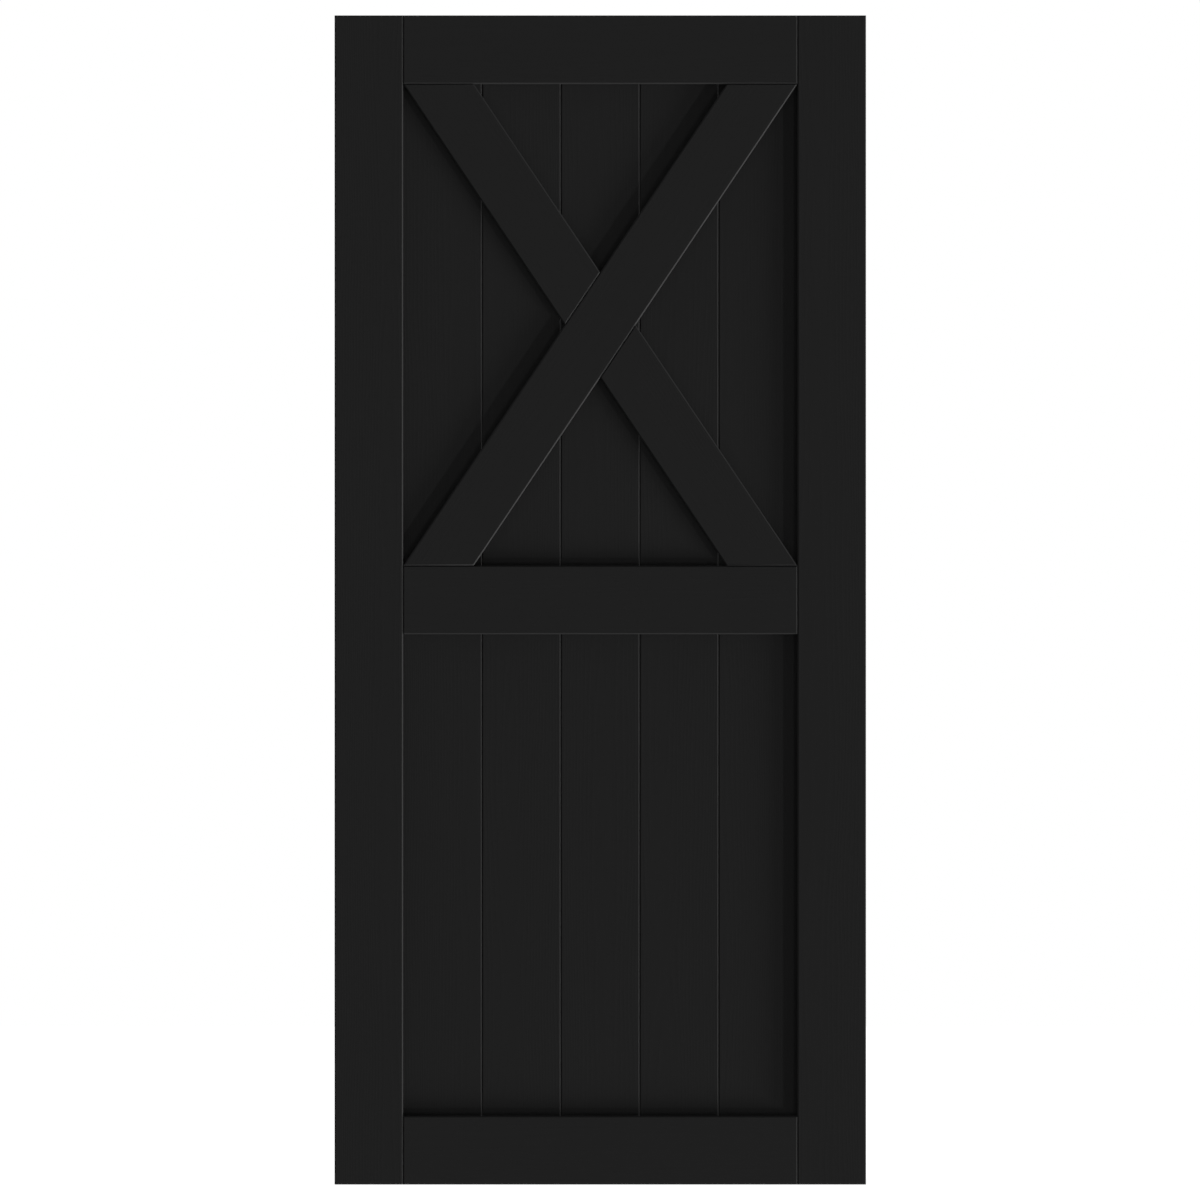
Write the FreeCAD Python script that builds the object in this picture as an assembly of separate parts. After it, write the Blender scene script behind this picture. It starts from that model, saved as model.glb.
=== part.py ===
import FreeCAD, Part
import math
import os

# Framed, ledged and braced door leaf, in millimetres.
# The origin is the middle of the top edge. The leaf hangs down from it along -Z, its front
# face looks towards -Y, and +X runs to the right as the front is faced.

# Leaf
leaf_width = 970.0
leaf_height = 2134.0
leaf_thickness = 35.0

# Frame timbers, as wide as they look on the face
stile_width = 125.0
top_rail_height = 125.0
middle_rail_height = 125.0
bottom_rail_height = 125.0
middle_rail_centre_height = 1067.0  # above the bottom edge of the leaf

# Grooves along the inner edges of the frame, which hold the boards and the rails' tenons
groove_depth = 12.0

# Boards, tongued and grooved on their long edges
board_count = 5
board_thickness = 11.0
tongue_thickness = 4.0
tongue_length = 5.5

# Braces, planted on the boards and flush with the frame
brace_width = 107.0

# Bevels on the edges
inner_bevel = 2.0  # frame edges at the joints and around the panels
outer_bevel = 1.5  # frame edges around the outside of the leaf
board_bevel = 2.0
brace_bevel = 2.0

# Clearances
groove_side_clearance = 0.1  # between a groove's wall and the board or tenon in it
groove_end_clearance = 0.5  # between a groove's floor and the board or tenon in it
tongue_side_clearance = 0.1
tongue_end_clearance = 0.5

# Places that follow from the sizes
half_width = leaf_width / 2
half_thickness = leaf_thickness / 2
half_board = board_thickness / 2
half_groove = half_board + groove_side_clearance
half_opening = half_width - stile_width
seat_depth = groove_depth - groove_end_clearance
board_pitch = 2 * half_opening / board_count

bottom_rail_top = bottom_rail_height - leaf_height
middle_rail_centre = middle_rail_centre_height - leaf_height
middle_rail_bottom = middle_rail_centre - middle_rail_height / 2
middle_rail_top = middle_rail_centre + middle_rail_height / 2
top_rail_bottom = -top_rail_height

up = FreeCAD.Vector(0, 0, 1)
origin = FreeCAD.Vector(0, 0, 0)


def close_to(value, target):
    """Whether a coordinate lies on a plane, within a thousandth of a millimetre."""
    return abs(value - target) < 0.001


def block(x_low, x_high, y_low, y_high, z_low, z_high):
    """A square-edged block between two corners."""
    corner = FreeCAD.Vector(x_low, y_low, z_low)
    return Part.makeBox(x_high - x_low, y_high - y_low, z_high - z_low, corner)


def bevel_edges(solid, size, is_wanted):
    """Bevels the edges of a solid that pass a test."""
    return solid.makeChamfer(size, [edge for edge in solid.Edges if is_wanted(edge)])


def bevel_frame_piece(solid, size, planes):
    """Bevels a frame piece's edges, front and back, where its faces meet the given planes.

    A plane is a pair of an axis, 0 for x or 2 for z, and a position along it.
    """

    def is_wanted(edge):
        ends = [end.Point for end in edge.Vertexes]
        on_faces = all(close_to(abs(end.y), half_thickness) for end in ends)
        return on_faces and any(
            all(close_to(end[axis], position) for end in ends) for axis, position in planes
        )

    return bevel_edges(solid, size, is_wanted)


def half_turn(solid, centre, axis):
    """A copy of a solid, turned half way round an axis."""
    copy = solid.copy()
    copy.rotate(centre, axis, 180)
    return copy


def make_right_stile():
    """The right-hand upright, with a groove along the whole of its inner edge."""
    stile = block(half_opening, half_width, -half_thickness, half_thickness, -leaf_height, 0)
    groove_floor = half_opening + groove_depth
    groove = block(half_opening, groove_floor, -half_groove, half_groove, -leaf_height, 0)
    stile = stile.cut(groove)
    stile = bevel_frame_piece(stile, inner_bevel, [(0, half_opening)])
    return bevel_frame_piece(stile, outer_bevel, [(0, half_width), (2, -leaf_height), (2, 0)])


def make_rail(bottom, top, board_edges, outer_edges):
    """A rail between the stiles, with a groove in each edge that holds boards.

    The stub tenons on its ends are as thick as a board, so the grooves run out through them.
    """
    tenon_end = half_opening + seat_depth
    rail = block(-tenon_end, tenon_end, -half_thickness, half_thickness, bottom, top)
    for side in (-1, 1):
        x_low, x_high = sorted((side * half_opening, side * tenon_end))
        rail = rail.cut(block(x_low, x_high, -half_thickness, -half_board, bottom, top))
        rail = rail.cut(block(x_low, x_high, half_board, half_thickness, bottom, top))
    for edge in board_edges:
        z_low = edge - groove_depth
        z_high = edge + groove_depth
        rail = rail.cut(block(-tenon_end, tenon_end, -half_groove, half_groove, z_low, z_high))

    inner_planes = [(0, -half_opening), (0, half_opening)] + [(2, edge) for edge in board_edges]
    rail = bevel_frame_piece(rail, inner_bevel, inner_planes)
    if outer_edges:
        rail = bevel_frame_piece(rail, outer_bevel, [(2, edge) for edge in outer_edges])
    return rail


def make_board(number, bottom, top):
    """One upright board of a panel, counted from the left.

    Its section has a groove on the left and a tongue on the right, and bevels that meet the
    next board's in a V. The panel's two outside edges are plain and sit in the stiles.
    """
    left = -half_opening + (number - 1) * board_pitch
    right = left + board_pitch
    land = half_board - board_bevel
    half_tongue = tongue_thickness / 2
    half_slot = half_tongue + tongue_side_clearance
    slot_floor = left + tongue_length + tongue_end_clearance
    tongue_tip = right + tongue_length

    if number == 1:
        seat = left - seat_depth
        left_edge = [(seat, half_board), (seat, -half_board)]
    else:
        left_edge = [
            (left + board_bevel, half_board),
            (left, land),
            (left, half_slot),
            (slot_floor, half_slot),
            (slot_floor, -half_slot),
            (left, -half_slot),
            (left, -land),
            (left + board_bevel, -half_board),
        ]
    if number == board_count:
        seat = right + seat_depth
        right_edge = [(seat, -half_board), (seat, half_board)]
    else:
        right_edge = [
            (right - board_bevel, -half_board),
            (right, -land),
            (right, -half_tongue),
            (tongue_tip, -half_tongue),
            (tongue_tip, half_tongue),
            (right, half_tongue),
            (right, land),
            (right - board_bevel, half_board),
        ]

    low_end = bottom - seat_depth
    high_end = top + seat_depth
    points = [FreeCAD.Vector(x, y, low_end) for x, y in left_edge + right_edge]
    section = Part.Face(Part.makePolygon(points + points[:1]))
    return section.extrude(up * (high_end - low_end))


def make_brace(outline):
    """A flat brace on the front of the boards, cut to an outline of (x, z) corners."""
    points = [FreeCAD.Vector(x, -half_thickness, z) for x, z in outline]
    face = Part.Face(Part.makePolygon(points + points[:1]))
    brace = face.extrude(FreeCAD.Vector(0, half_thickness - half_board, 0))

    def is_on_front(edge):
        return all(close_to(end.Point.y, -half_thickness) for end in edge.Vertexes)

    return bevel_edges(brace, brace_bevel, is_on_front)


def make_front_braces():
    """The long brace and the two short ones that butt against it.

    A brace starts with one corner in the opening's lower corner and ends with the opposite
    one in its upper corner. With w for the brace's width and t for its lean from upright,
    opening width * cos(t) - opening height * sin(t) = w.
    """
    height = top_rail_bottom - middle_rail_top
    middle = (top_rail_bottom + middle_rail_top) / 2
    diagonal = math.hypot(2 * half_opening, height)
    diagonal_slope = math.atan2(height, 2 * half_opening)
    lean = math.acos(brace_width / diagonal) - diagonal_slope
    end_width = brace_width / math.cos(lean)
    crossing_half_height = end_width / 2 / math.tan(lean)

    long_brace = make_brace([
        (-half_opening, middle_rail_top),
        (-half_opening + end_width, middle_rail_top),
        (half_opening, top_rail_bottom),
        (half_opening - end_width, top_rail_bottom),
    ])
    upper_short_brace = make_brace([
        (-half_opening, top_rail_bottom),
        (-end_width / 2, middle),
        (0, middle + crossing_half_height),
        (-half_opening + end_width, top_rail_bottom),
    ])
    crossing = FreeCAD.Vector(0, 0, middle)
    lower_short_brace = half_turn(upper_short_brace, crossing, FreeCAD.Vector(0, 1, 0))
    return {
        "long_brace": long_brace,
        "upper_short_brace": upper_short_brace,
        "lower_short_brace": lower_short_brace,
    }


pieces = {}

# Frame
pieces["right_stile"] = make_right_stile()
pieces["left_stile"] = half_turn(pieces["right_stile"], origin, up)
pieces["top_rail"] = make_rail(top_rail_bottom, 0, [top_rail_bottom], [0])
pieces["middle_rail"] = make_rail(
    middle_rail_bottom, middle_rail_top, [middle_rail_bottom, middle_rail_top], []
)
pieces["bottom_rail"] = make_rail(-leaf_height, bottom_rail_top, [bottom_rail_top], [-leaf_height])

# Boards of the two panels
for number in range(1, board_count + 1):
    pieces[f"upper_board_{number}"] = make_board(number, middle_rail_top, top_rail_bottom)
    pieces[f"lower_board_{number}"] = make_board(number, bottom_rail_top, middle_rail_bottom)

# Braces on the front, and the same ones turned round for the back
for name, brace in make_front_braces().items():
    pieces[f"front_{name}"] = brace
    pieces[f"back_{name}"] = half_turn(brace, origin, up)

os.makedirs("parts", exist_ok=True)
for name, piece in pieces.items():
    piece.exportStep(f"parts/{name}.step")
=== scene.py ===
import math

import bmesh
import bpy
import numpy as np
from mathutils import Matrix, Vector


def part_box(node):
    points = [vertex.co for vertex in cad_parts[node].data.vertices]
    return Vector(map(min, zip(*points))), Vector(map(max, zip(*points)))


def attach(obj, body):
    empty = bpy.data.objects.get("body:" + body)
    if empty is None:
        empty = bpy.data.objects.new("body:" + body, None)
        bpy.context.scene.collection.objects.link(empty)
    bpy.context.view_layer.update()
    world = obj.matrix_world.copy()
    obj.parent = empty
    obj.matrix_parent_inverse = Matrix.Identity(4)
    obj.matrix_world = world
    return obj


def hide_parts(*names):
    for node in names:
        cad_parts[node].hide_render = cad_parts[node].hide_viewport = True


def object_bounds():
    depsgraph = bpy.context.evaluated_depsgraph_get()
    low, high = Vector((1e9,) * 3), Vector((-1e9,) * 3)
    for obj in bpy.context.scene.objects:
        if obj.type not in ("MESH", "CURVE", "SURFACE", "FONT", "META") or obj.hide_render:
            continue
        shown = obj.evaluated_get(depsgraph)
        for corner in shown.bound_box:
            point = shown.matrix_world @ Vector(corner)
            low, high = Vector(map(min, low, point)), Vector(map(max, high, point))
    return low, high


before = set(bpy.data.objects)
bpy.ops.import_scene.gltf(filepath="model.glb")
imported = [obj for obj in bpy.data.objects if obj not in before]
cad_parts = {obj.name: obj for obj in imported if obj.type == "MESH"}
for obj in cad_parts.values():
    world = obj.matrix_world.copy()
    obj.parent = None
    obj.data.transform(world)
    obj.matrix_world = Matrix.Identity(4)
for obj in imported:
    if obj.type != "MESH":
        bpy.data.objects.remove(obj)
cad_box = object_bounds()

# Stiles
# The two full-height uprights are planed softwood, grooved along the inner edge for the boards and
# for the rails' tenons. Every edge is bevelled, and sanding and paint have softened the arrises.

half_depth = cad_box[1].y  # lengths are in metres
half_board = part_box("lower_board_1")[1].y
seat_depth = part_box("left_stile")[1].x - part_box("top_rail")[0].x
groove_end_clearance = 0.0005
groove_side_clearance = 0.0001
groove_depth = seat_depth + groove_end_clearance
half_groove = half_board + groove_side_clearance
outer_bevel = 0.0015
inner_bevel = 0.0020
arris = 0.0005
arc_points = 4  # on each rounded arris
same_place = 1e-6
sharp_angle = math.radians(35)

RIGHT = np.array([1.0, 0.0, 0.0])
BACK = np.array([0.0, 1.0, 0.0])
UP = np.array([0.0, 0.0, 1.0])

# Where in its log a timber is cut: along the grain, and across and into it from the pith
nearest_cut = (0, -0.05, 0.04)
farthest_cut = (30, 0.05, 0.11)
log_places = np.random.default_rng(1871)


def eased(outline):
    """Rounds the corners of a closed outline, as sanding does.

    A row is a corner p and its radius. It becomes the curve (1 - t)^2 a + 2 t (1 - t) p + t^2 b
    for t from 0 to 1, where a and b lie on the corner's two edges, one radius away from p.
    """
    corners = np.array([row[:2] for row in outline])
    radius = np.array([row[2:] for row in outline])
    to_last = np.roll(corners, 1, axis=0) - corners
    to_next = np.roll(corners, -1, axis=0) - corners
    a = corners + radius * to_last / np.linalg.norm(to_last, axis=1, keepdims=True)
    b = corners + radius * to_next / np.linalg.norm(to_next, axis=1, keepdims=True)
    t = np.linspace(0, 1, arc_points)[None, :, None]
    curves = (1 - t) ** 2 * a[:, None] + 2 * t * (1 - t) * corners[:, None] + t ** 2 * b[:, None]
    return curves.reshape(-1, 2)


def groove_side(edge, depth, side):
    """The corners on one side of a groove, from its mouth to its floor.

    An edge without a groove keeps one point there, where the face of a tenon crosses it.
    """
    mouth = [(edge, side, arris)] if depth else []
    return mouth + [(edge + depth, side, 0)]


def frame_section(low, high, low_bevel, high_bevel, low_groove, high_groove):
    """A frame timber's section, as (across, depth) points from its low edge to its high edge.

    The outline is a rectangle with its four corners cut off at 45 degrees by the bevels, and a
    square groove as deep as low_groove or high_groove sunk in each edge.
    """
    return eased([
        (low + low_bevel, -half_depth, arris),
        (high - high_bevel, -half_depth, arris),
        (high, high_bevel - half_depth, arris),
        *groove_side(high, -high_groove, -half_groove),
        *groove_side(high, -high_groove, half_groove)[::-1],
        (high, half_depth - high_bevel, arris),
        (high - high_bevel, half_depth, arris),
        (low + low_bevel, half_depth, arris),
        (low, half_depth - low_bevel, arris),
        *groove_side(low, low_groove, half_groove),
        *groove_side(low, low_groove, -half_groove)[::-1],
        (low, low_bevel - half_depth, arris),
    ])


def bevelled_length(start, end, bevel):
    """Stations along a timber from start to end, as rows of (distance, half depth).

    The lengthwise outline is a rectangle whose corners the bevel cuts off at 45 degrees, so the
    half depth grows over the first bevel's length and shrinks over the last. The two corners on
    the middle line only close the outline, and are left out.
    """
    outline = [
        (start, 0, 0),
        (start, half_depth - bevel, arris),
        (start + bevel, half_depth, arris),
        (end - bevel, half_depth, arris),
        (end, half_depth - bevel, arris),
        (end, 0, 0),
    ]
    return eased(outline)[arc_points:-arc_points]


def ease_ends(stations, low, high):
    """Adds the width limits to (distance, half depth) stations, rounding the arrises of both ends.

    At a distance s from an end, less than the arris r, each side of the width pulls in by
    r - sqrt(r^2 - (r - s)^2), a quarter circle.
    """
    distance = stations[:, 0]
    from_end = np.minimum(distance - distance.min(), distance.max() - distance)
    short = np.clip(arris - from_end, 0, arris)
    pull = arris - np.sqrt(arris ** 2 - short ** 2)
    return np.column_stack([stations, low + pull, high - pull])


def carried(section, stations, along, across):
    """Carries a section along a straight timber, and returns the rings of its surface.

    A station is (distance, half depth, low limit, high limit). The point for station k and
    section point (a, d) is
    distance_k * along + clip(a, low_k, high_k) * across + clip(d, -half_k, half_k) * depth,
    with depth = along x across.
    """
    distance, half, low, high = (column[:, None] for column in np.asarray(stations).T)
    a = np.clip(section[None, :, 0], low, high)
    d = np.clip(section[None, :, 1], -half, half)
    depth = np.cross(along, across)
    return distance[..., None] * along + a[..., None] * across + d[..., None] * depth


def skinned(rings):
    """Points and faces of a closed skin over rings: a band of quads between each ring and the
    next, and a cap on the first and the last."""
    rows, columns = rings.shape[:2]
    index = np.arange(rows * columns).reshape(rows, columns)
    near, far = index[:-1], index[1:]
    bands = np.stack([near, np.roll(near, -1, 1), np.roll(far, -1, 1), far], axis=-1)
    caps = [index[0, ::-1].tolist(), index[-1].tolist()]
    return rings.reshape(-1, 3), bands.reshape(-1, 4).tolist() + caps


def weld(mesh):
    """Merges the points of a mesh that clipping brought together, and returns those that stay."""
    shell = bmesh.new()
    shell.from_mesh(mesh)
    bmesh.ops.remove_doubles(shell, verts=shell.verts, dist=same_place)
    shell.to_mesh(mesh)
    shell.free()
    points = np.empty(len(mesh.vertices) * 3)
    mesh.vertices.foreach_get("co", points)
    return points.reshape(-1, 3)


class Wire:
    """A shader socket that Python arithmetic works on: each operator adds its Math node."""

    def __init__(self, tree, socket=None):
        self.tree = tree
        self.socket = socket

    def node(self, kind, settings=None, inputs=None, output=0):
        """Adds a node, with its settings first and then the values or wires of its sockets."""
        made = self.tree.nodes.new("ShaderNode" + kind)
        for name, value in (settings or {}).items():
            setattr(made, name, value)
        for name, value in (inputs or {}).items():
            if isinstance(value, Wire):
                self.tree.links.new(value.socket, made.inputs[name])
            else:
                made.inputs[name].default_value = value
        return Wire(self.tree, made.outputs[output] if made.outputs else None)

    def output(self, name):
        """Another output of the node that this wire comes from."""
        return Wire(self.tree, self.socket.node.outputs[name])

    def maths(self, operation, first, second):
        return self.node("Math", {"operation": operation}, {0: first, 1: second})

    def __add__(self, other):
        return self.maths("ADD", self, other)

    def __sub__(self, other):
        return self.maths("SUBTRACT", self, other)

    def __rsub__(self, other):
        return self.maths("SUBTRACT", other, self)

    def __mul__(self, other):
        return self.maths("MULTIPLY", self, other)

    def __pow__(self, other):
        return self.maths("POWER", self, other)

    __radd__ = __add__
    __rmul__ = __mul__


def empty_shader(tree):
    """Clears a shader tree and returns the wire that its nodes are added by."""
    tree.nodes.clear()
    return Wire(tree)


def black_paint(name):
    """Matt black paint over planed timber.

    The timber attribute gives each point's place in its own log: along the grain, and across and
    into it from the pith. With r the distance from the pith, moved a little by slow noise, the
    growth rings are (0.5 + 0.5 sin(2 pi r / ring width))^3. The paint shows them, the fibres and
    the stipple of its roller as relief of a few hundredths of a millimetre and as faint tones.
    """
    grey = 0.0088
    darkest_tone = 0.84
    uneven_tone = 0.16
    ring_tone = 0.04
    roughness = 0.70
    uneven_roughness = 0.06
    ring_roughness = 0.03
    shine = 0.08
    ring_width = 0.0042
    ring_wander = 0.03
    ring_relief = 0.00004
    fibre_relief = 0.0001
    stipple_relief = 0.00003
    noise_roughness = 0.55

    material = bpy.data.materials.new(name)
    material.use_nodes = True
    shader = empty_shader(material.node_tree)
    log = shader.node("Attribute", {"attribute_name": "timber"}, output="Vector")

    def noise(size, stretch, detail):
        """Noise with spots of a size, drawn out along the timber by a stretch."""
        drawn_out = shader.node("Mapping", inputs={"Vector": log, "Scale": (1 / stretch, 1, 1)})
        return shader.node("TexNoise", {"noise_dimensions": "3D"}, {
            "Vector": drawn_out,
            "Scale": 1 / size,
            "Detail": detail,
            "Roughness": noise_roughness,
        })

    wander = noise(0.09, 8, 2)
    fibres = noise(0.0011, 50, 3)
    stipple = noise(0.0016, 1, 2)
    clouds = noise(0.16, 2.5, 3)

    place = shader.node("SeparateXYZ", inputs={"Vector": log})
    across = place.output("Y")
    into = place.output("Z")
    from_pith = (across * across + into * into) ** 0.5 + (wander - 0.5) * ring_wander
    turn = from_pith * (2 * math.pi / ring_width)
    growth = (shader.node("Math", {"operation": "SINE"}, {0: turn}) * 0.5 + 0.5) ** 3

    relief = growth * ring_relief + fibres * fibre_relief + stipple * stipple_relief
    tone = (darkest_tone + (clouds + fibres) * uneven_tone - growth * ring_tone) * grey
    surface = shader.node("BsdfPrincipled", inputs={
        "Base Color": shader.node("CombineColor", inputs={"Red": tone, "Green": tone, "Blue": tone}),
        "Roughness": roughness + (clouds + stipple) * uneven_roughness - growth * ring_roughness,
        "Specular IOR Level": shine,
        "Normal": shader.node("Bump", inputs={"Height": relief, "Distance": 1.0}),
    })
    shader.node("OutputMaterial", inputs={"Surface": surface})
    return material


def timber_piece(node, rings, run, paint):
    """Makes the painted timber that stands for one CAD node.

    Its timber attribute is the point's place along the run, across it and in depth, moved by a
    length of log and an offset from the pith that are this piece's own.
    """
    points, faces = skinned(rings)
    mesh = bpy.data.meshes.new("painted_" + node)
    mesh.from_pydata(points.tolist(), [], faces)
    points = weld(mesh)
    place_in_log = points @ np.stack([run, np.cross(BACK, run), BACK], axis=1)
    place_in_log += log_places.uniform(nearest_cut, farthest_cut) - place_in_log.mean(axis=0)
    timber = mesh.attributes.new("timber", "FLOAT_VECTOR", "POINT")
    timber.data.foreach_set("vector", place_in_log.astype(np.float32).ravel())
    mesh.materials.append(paint)
    mesh.shade_smooth()
    mesh.set_sharp_from_angle(angle=sharp_angle)

    piece = bpy.data.objects.new("painted_" + node, mesh)
    bpy.context.scene.collection.objects.link(piece)
    flat_faces = piece.modifiers.new("flat_faces", "WEIGHTED_NORMAL")
    flat_faces.keep_sharp = True
    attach(piece, "root")
    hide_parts(node)


frame_paint = black_paint("frame_paint")

stiles = {
    "left_stile": (outer_bevel, inner_bevel, 0, groove_depth),
    "right_stile": (inner_bevel, outer_bevel, groove_depth, 0),
}
for node, edges in stiles.items():
    low, high = (np.array(corner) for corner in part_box(node))
    section = frame_section(low[0], high[0], *edges)
    stations = ease_ends(bevelled_length(low[2], high[2], outer_bevel), low[0], high[0])
    timber_piece(node, carried(section, stations, UP, RIGHT), UP, frame_paint)

# Rails
# The three rails, or ledges, are the same timber. A stub tenon on each end fills the stile's groove,
# bevelled shoulders butt against the stiles, and the edges that face boards are grooved.


def tenon_stations(start, end, low, high):
    """A tenon that fills the groove, from start to end, between two limits of the rail's width."""
    return [(start, half_groove, low, high), (end, half_groove, low, high)]


rails = {
    "top_rail": (inner_bevel, outer_bevel, groove_depth, 0),
    "middle_rail": (inner_bevel, inner_bevel, groove_depth, groove_depth),
    "bottom_rail": (outer_bevel, inner_bevel, 0, groove_depth),
}
for node, edges in rails.items():
    low, high = (np.array(corner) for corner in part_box(node))
    section = frame_section(low[2], high[2], *edges)
    left_shoulder = low[0] + seat_depth
    right_shoulder = high[0] - seat_depth
    low_groove, high_groove = edges[2:]
    tenon_low = low[2] + low_groove
    tenon_high = high[2] - high_groove
    body = bevelled_length(left_shoulder, right_shoulder, inner_bevel)
    body = np.column_stack([body, np.full(len(body), low[2]), np.full(len(body), high[2])])
    stations = np.vstack([
        tenon_stations(low[0], left_shoulder, tenon_low, tenon_high),
        body,
        tenon_stations(right_shoulder, high[0], tenon_low, tenon_high),
    ])
    timber_piece(node, carried(section, stations, RIGHT, UP), RIGHT, frame_paint)

# Boards
# Each panel is five upright boards, tongued and grooved into each other. The bevels on their long
# edges meet in a V on both faces, and their ends stand in the grooves of the rails.

board_bevel = 0.0020
half_tongue = 0.0020
tongue_length = 0.0055
tongue_side_clearance = 0.0001
tongue_end_clearance = 0.0005
half_slot = half_tongue + tongue_side_clearance
slot_depth = tongue_length + tongue_end_clearance

board_paint = black_paint("board_paint")


def board_section(left, right, is_first, is_last):
    """A board's section from left to right, with its slot on the left and its tongue on the right.

    The outline is a rectangle with its corners cut off at 45 degrees where boards meet. The two
    outside edges are square and reach into the stiles.
    """
    land = half_board - board_bevel
    if is_first:
        left_edge = [(left, half_board, 0), (left, -half_board, 0)]
    else:
        slot_floor = left + slot_depth
        left_edge = [
            (left + board_bevel, half_board, arris),
            (left, land, arris),
            (left, half_slot, arris),
            (slot_floor, half_slot, 0),
            (slot_floor, -half_slot, 0),
            (left, -half_slot, arris),
            (left, -land, arris),
            (left + board_bevel, -half_board, arris),
        ]
    if is_last:
        right_edge = [(right, -half_board, 0), (right, half_board, 0)]
    else:
        face_end = right - tongue_length
        right_edge = [
            (face_end - board_bevel, -half_board, arris),
            (face_end, -land, arris),
            (face_end, -half_tongue, 0),
            (right, -half_tongue, arris),
            (right, half_tongue, arris),
            (face_end, half_tongue, 0),
            (face_end, land, arris),
            (face_end - board_bevel, half_board, arris),
        ]
    return eased(left_edge + right_edge)


board_nodes = sorted(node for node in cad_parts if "board" in node)
for node in board_nodes:
    low, high = (np.array(corner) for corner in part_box(node))
    section = board_section(low[0], high[0], node.endswith("_1"), node.endswith("_5"))
    stations = [(z, half_board, low[0], high[0]) for z in (low[2], high[2])]
    timber_piece(node, carried(section, stations, UP, RIGHT), UP, board_paint)

# Braces
# Three flat braces on each face are glued and pinned to the boards, flush with the frame. The long
# one runs corner to corner, and the two short ones are cut to butt against its edges.

brace_bevel = 0.0020
brace_width = 0.107

brace_paint = black_paint("brace_paint")


def edged(corners, rows):
    """Carries an edge profile round a straight-sided outline, with a mitre at each corner.

    A row is (inset, y). With n and m the inward normals of the two edges that meet at a corner,
    the corner moves by inset * (n + m) / (1 + n.m), which keeps it the inset away from both.
    """
    corners = np.asarray(corners, float)
    run = np.roll(corners, -1, axis=0) - corners
    run /= np.linalg.norm(run, axis=1, keepdims=True)
    after = np.column_stack([-run[:, 1], run[:, 0]])
    before = np.roll(after, 1, axis=0)
    mitre = (before + after) / (1 + (before * after).sum(axis=1, keepdims=True))
    inset, y = (column[:, None] for column in np.asarray(rows).T)
    flat = corners[None] + inset[..., None] * mitre[None]
    return np.stack([flat[..., 0], np.broadcast_to(y, flat.shape[:2]), flat[..., 1]], axis=-1)


def half_turn(rings, axis, centre):
    """Turns rings half way round an axis, 0 for x to 2 for z, that passes through a centre.

    The other two coordinates are mirrored about the centre.
    """
    signs = np.where(np.arange(3) == axis, 1.0, -1.0)
    return (rings - centre) * signs + centre


low, high = (np.array(corner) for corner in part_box("front_long_brace"))
left, brace_face, bottom = low
right, brace_back, top = high
crossing = (low + high) / 2
lean = math.acos(brace_width / math.hypot(right - left, top - bottom))
lean -= math.atan2(top - bottom, right - left)
end_width = brace_width / math.cos(lean)
crossing_half_height = end_width / 2 / math.tan(lean)

# From the boards up the edge, over the bevel and a little way in. The last corner only gives the
# bevel's inner arris its direction.
edge_profile = eased([
    (0, brace_back, 0),
    (0, brace_face + brace_bevel, arris),
    (brace_bevel, brace_face, arris),
    (3 * brace_bevel, brace_face, 0),
])[arc_points - 1:1 - arc_points]

long_brace = edged([
    (left, bottom),
    (left + end_width, bottom),
    (right, top),
    (right - end_width, top),
], edge_profile)
upper_short_brace = edged([
    (left, top),
    (-end_width / 2, crossing[2]),
    (0, crossing[2] + crossing_half_height),
    (left + end_width, top),
], edge_profile)
lower_short_brace = half_turn(upper_short_brace, 1, crossing)

rising = np.array([math.sin(lean), 0, math.cos(lean)])
falling = rising * (-1, 1, 1)
braces = {
    "long_brace": (long_brace, rising),
    "upper_short_brace": (upper_short_brace, falling),
    "lower_short_brace": (lower_short_brace, falling),
}
for name, (rings, run) in braces.items():
    back_rings = half_turn(rings, 2, 0)
    back_run = run * (-1, 1, 1)
    timber_piece("front_" + name, rings, run, brace_paint)
    timber_piece("back_" + name, back_rings, back_run, brace_paint)

# Floor
# A plain pale floor at the height of the leaf's foot, which shows as white as the photograph's
# background. Most lamps shine up from below it, so it casts no shadow.

floor_reach = 9.0
floor_grey = 0.6
floor_glow = 0.97

floor_height = cad_box[0].z
floor_corners = [
    (-floor_reach, -floor_reach, floor_height),
    (floor_reach, -floor_reach, floor_height),
    (floor_reach, floor_reach, floor_height),
    (-floor_reach, floor_reach, floor_height),
]
floor_mesh = bpy.data.meshes.new("studio_floor")
floor_mesh.from_pydata(floor_corners, [], [(0, 1, 2, 3)])
floor = bpy.data.objects.new("studio_floor", floor_mesh)
bpy.context.scene.collection.objects.link(floor)
floor.visible_shadow = False


def seen_rays(shader):
    """1 for a ray that shows the background itself, and 0 for one that only carries its light."""
    camera_ray = shader.node("LightPath", output="Is Camera Ray")
    return camera_ray + camera_ray.output("Is Glossy Ray") + camera_ray.output("Is Transmission Ray")


floor_material = bpy.data.materials.new("pale_floor")
floor_material.use_nodes = True
shader = empty_shader(floor_material.node_tree)
matt = shader.node("BsdfDiffuse", inputs={"Color": (floor_grey, floor_grey, floor_grey, 1)})
glow = shader.node("Emission", inputs={"Strength": floor_glow})
glowing = shader.node("AddShader", inputs={0: matt, 1: glow})
shown = shader.node("MixShader", inputs={"Fac": seen_rays(shader), 1: matt, 2: glowing})
shader.node("OutputMaterial", inputs={"Surface": shown})
floor_mesh.materials.append(floor_material)

# Light
# The steep, the key and the low lamp shine from the front's lower right and draw the three steps of
# the shadow along the frame, and the faint far lamp those at its left and top. The edge lamp casts
# no shadow and lights the joints' lower right bevels, and one soft lamp lights the back.

fill_level = 0.105
steep_level = 0.133
key_level = 0.205
low_level = 0.30
far_level = 0.03
edge_level = 0.95
back_level = 0.43
white_level = 1.0


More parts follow.
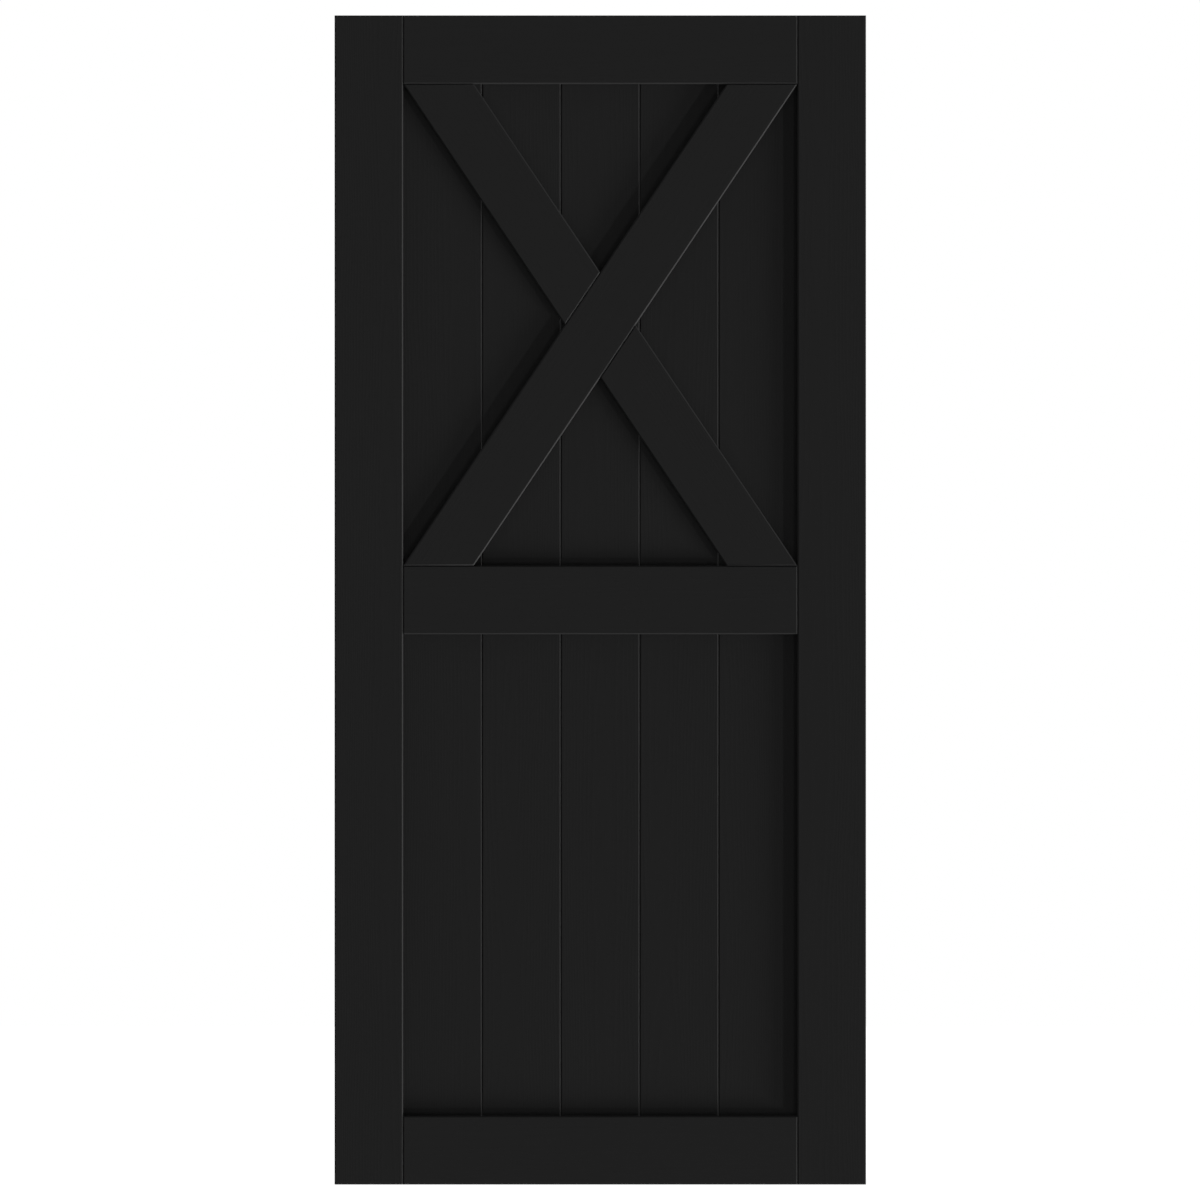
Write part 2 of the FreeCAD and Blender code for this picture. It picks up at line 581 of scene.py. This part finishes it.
def add_sun(name, towards, facing, level, width, shadow=True):
    """A distant lamp, so many degrees wide, in the direction towards.

    A face that looks along facing gets level times the plain level of light from it.
    """
    towards = np.array(towards) / np.linalg.norm(towards)
    lamp = bpy.data.lights.new(name, "SUN")
    lamp.energy = level * math.pi / float(towards @ facing)
    lamp.angle = math.radians(width)
    lamp.use_shadow = shadow
    holder = bpy.data.objects.new(name, lamp)
    bpy.context.scene.collection.objects.link(holder)
    holder.rotation_mode = "QUATERNION"
    holder.rotation_quaternion = Vector(towards).to_track_quat("Z", "Y")


add_sun("steep_lamp", (0.50, -0.74, -0.45), -BACK, steep_level, 8)
add_sun("key_lamp", (0.807, -0.339, -0.485), -BACK, key_level, 2)
add_sun("low_lamp", (0.85, -0.145, -0.50), -BACK, low_level, 12)
add_sun("far_lamp", (-0.75, -0.13, 0.65), -BACK, far_level, 12)
add_sun("edge_lamp", (0.85, 0.0, -0.50), RIGHT, edge_level, 12, shadow=False)
add_sun("back_lamp", (0.40, 0.64, -0.66), BACK, back_level, 12)

world = bpy.data.worlds.new("white_studio")
world.use_nodes = True
bpy.context.scene.world = world
shader = empty_shader(world.node_tree)
fill = shader.node("Background", inputs={"Color": (1, 1, 1, 1), "Strength": fill_level})
white = shader.node("Background", inputs={"Color": (1, 1, 1, 1), "Strength": white_level})
surroundings = shader.node("MixShader", inputs={"Fac": seen_rays(shader), 1: fill, 2: white})
shader.node("OutputWorld", inputs={"Surface": surroundings})

# Camera
# The photograph looks straight at the front from far off. Its square frame is 1200 pixels wide, and
# the leaf stands 1169.3 pixels tall in it, 0.3 pixels right of the middle.

frame_pixels = 1200
leaf_pixels = 1169.26
leaf_offset_pixels = 0.28

leaf_low, leaf_high = cad_box
metres_per_pixel = (leaf_high.z - leaf_low.z) / leaf_pixels
camera_data = bpy.data.cameras.new("front_camera")
camera_data.lens = 400
camera_data.sensor_width = 36
distance = frame_pixels * metres_per_pixel * camera_data.lens / camera_data.sensor_width
camera_data.clip_end = 2 * distance
camera = bpy.data.objects.new("front_camera", camera_data)
bpy.context.scene.collection.objects.link(camera)
camera.location = (
    -leaf_offset_pixels * metres_per_pixel,
    leaf_low.y - distance,
    (leaf_low.z + leaf_high.z) / 2,
)
camera.rotation_euler = (math.pi / 2, 0, 0)
bpy.context.scene.camera = camera
bpy.context.scene.view_settings.view_transform = "Standard"
